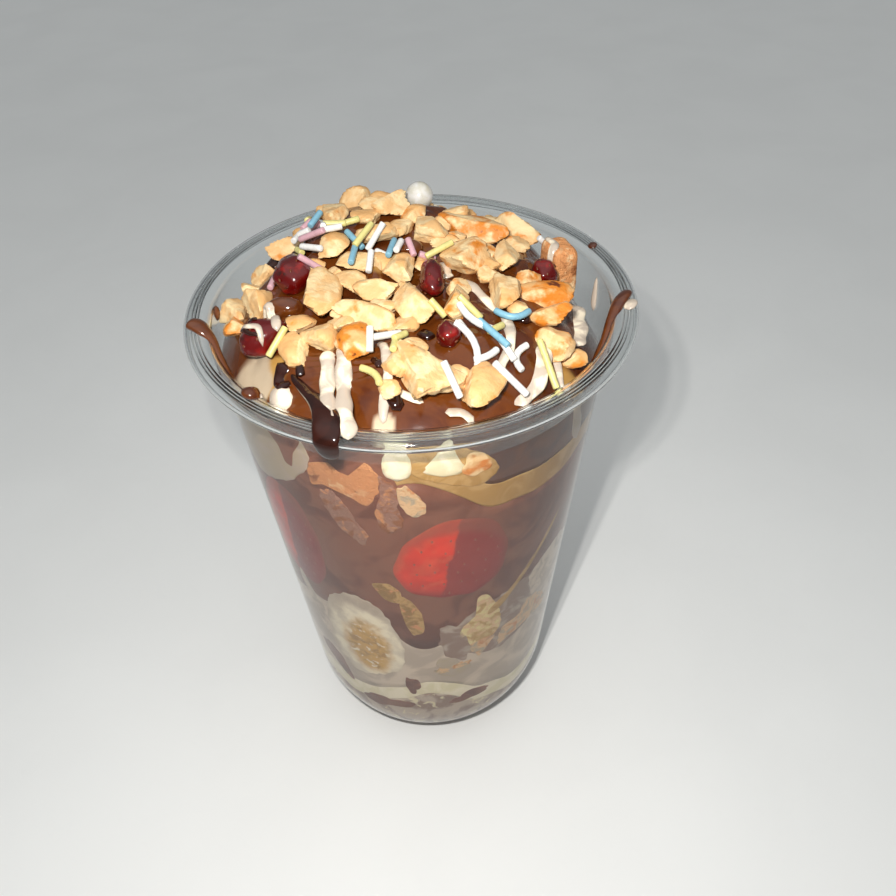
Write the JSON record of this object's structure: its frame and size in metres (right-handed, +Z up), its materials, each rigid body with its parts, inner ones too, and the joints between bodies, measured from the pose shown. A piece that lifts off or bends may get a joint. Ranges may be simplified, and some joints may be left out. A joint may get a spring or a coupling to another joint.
{
  "type": "frozen yogurt cup",
  "caption": "Clear plastic dessert cup with a rolled rim, filled in wavy layers of chocolate, yogurt and fruit and heaped with nuts and sauce.",
  "frame": {"origin": "centre of the cup's flat foot ring, on the surface it stands on", "axes": "+Z up along the cup's axis, -Y towards the front with the sauce drip over the rim, +X to its right"},
  "size_m": [0.095, 0.095, 0.14],
  "materials": {
    "clear_plastic": "clear, glossy, thin-walled",
    "crumb_mix": "moist crumb and sauce mix",
    "cream": "soft pale cream",
    "yogurt": "soft pale yogurt marbled with sauce",
    "milk_chocolate": "glossy set chocolate sauce",
    "caramel": "glossy caramel sauce",
    "dark_chocolate": "high-gloss dark sauce",
    "white_chocolate": "glossy pale sauce",
    "strawberry": "wet cut fruit",
    "banana": "moist cut fruit",
    "caramel_banana": "fruit glazed with caramel",
    "waffle": "baked, browned on its edges",
    "nut": "chopped, dry-roasted",
    "sugar": "polished sugar shell"
  },
  "bodies": {
    "root": {"banana_slice_back": "banana", "banana_slice_front": "banana", "base_mix": "crumb_mix", "biscuit_piece_front": "waffle", "caramel_banana_lower": "caramel_banana", "caramel_banana_upper": "caramel_banana", "caramel_layer": "caramel", "chocolate_layer": "milk_chocolate", "chocolate_lump_back": "milk_chocolate", "chocolate_lump_left": "milk_chocolate", "cream_band": "cream", "cup": "clear_plastic", "dark_drip": "dark_chocolate", "heap": "milk_chocolate", "nut_01": "nut", "nut_02": "nut", "nut_03": "nut", "nut_04": "nut", "nut_05": "nut", "nut_06": "nut", "nut_07": "nut", "nut_08": "nut", "nut_09": "nut", "nut_10": "nut", "nut_11": "nut", "nut_12": "nut", "nut_13": "nut", "nut_14": "nut", "nut_15": "nut", "nut_16": "nut", "nut_17": "nut", "nut_18": "nut", "nut_19": "nut", "nut_20": "nut", "nut_21": "nut", "nut_22": "nut", "nut_23": "nut", "nut_24": "nut", "nut_25": "nut", "nut_26": "nut", "nut_27": "nut", "nut_28": "nut", "nut_29": "nut", "nut_wall": "nut", "strawberry_slice_back": "strawberry", "strawberry_slice_front": "strawberry", "strawberry_slice_left": "strawberry", "strawberry_top_back_left": "strawberry", "strawberry_top_front": "strawberry", "strawberry_top_left": "strawberry", "strawberry_top_middle": "strawberry", "strawberry_top_right": "strawberry", "sugar_pearl": "sugar", "waffle_block": "waffle", "waffle_piece_back": "waffle", "waffle_piece_front": "waffle", "white_drop": "white_chocolate", "yogurt_layer": "yogurt"}
  },
  "joints": []
}
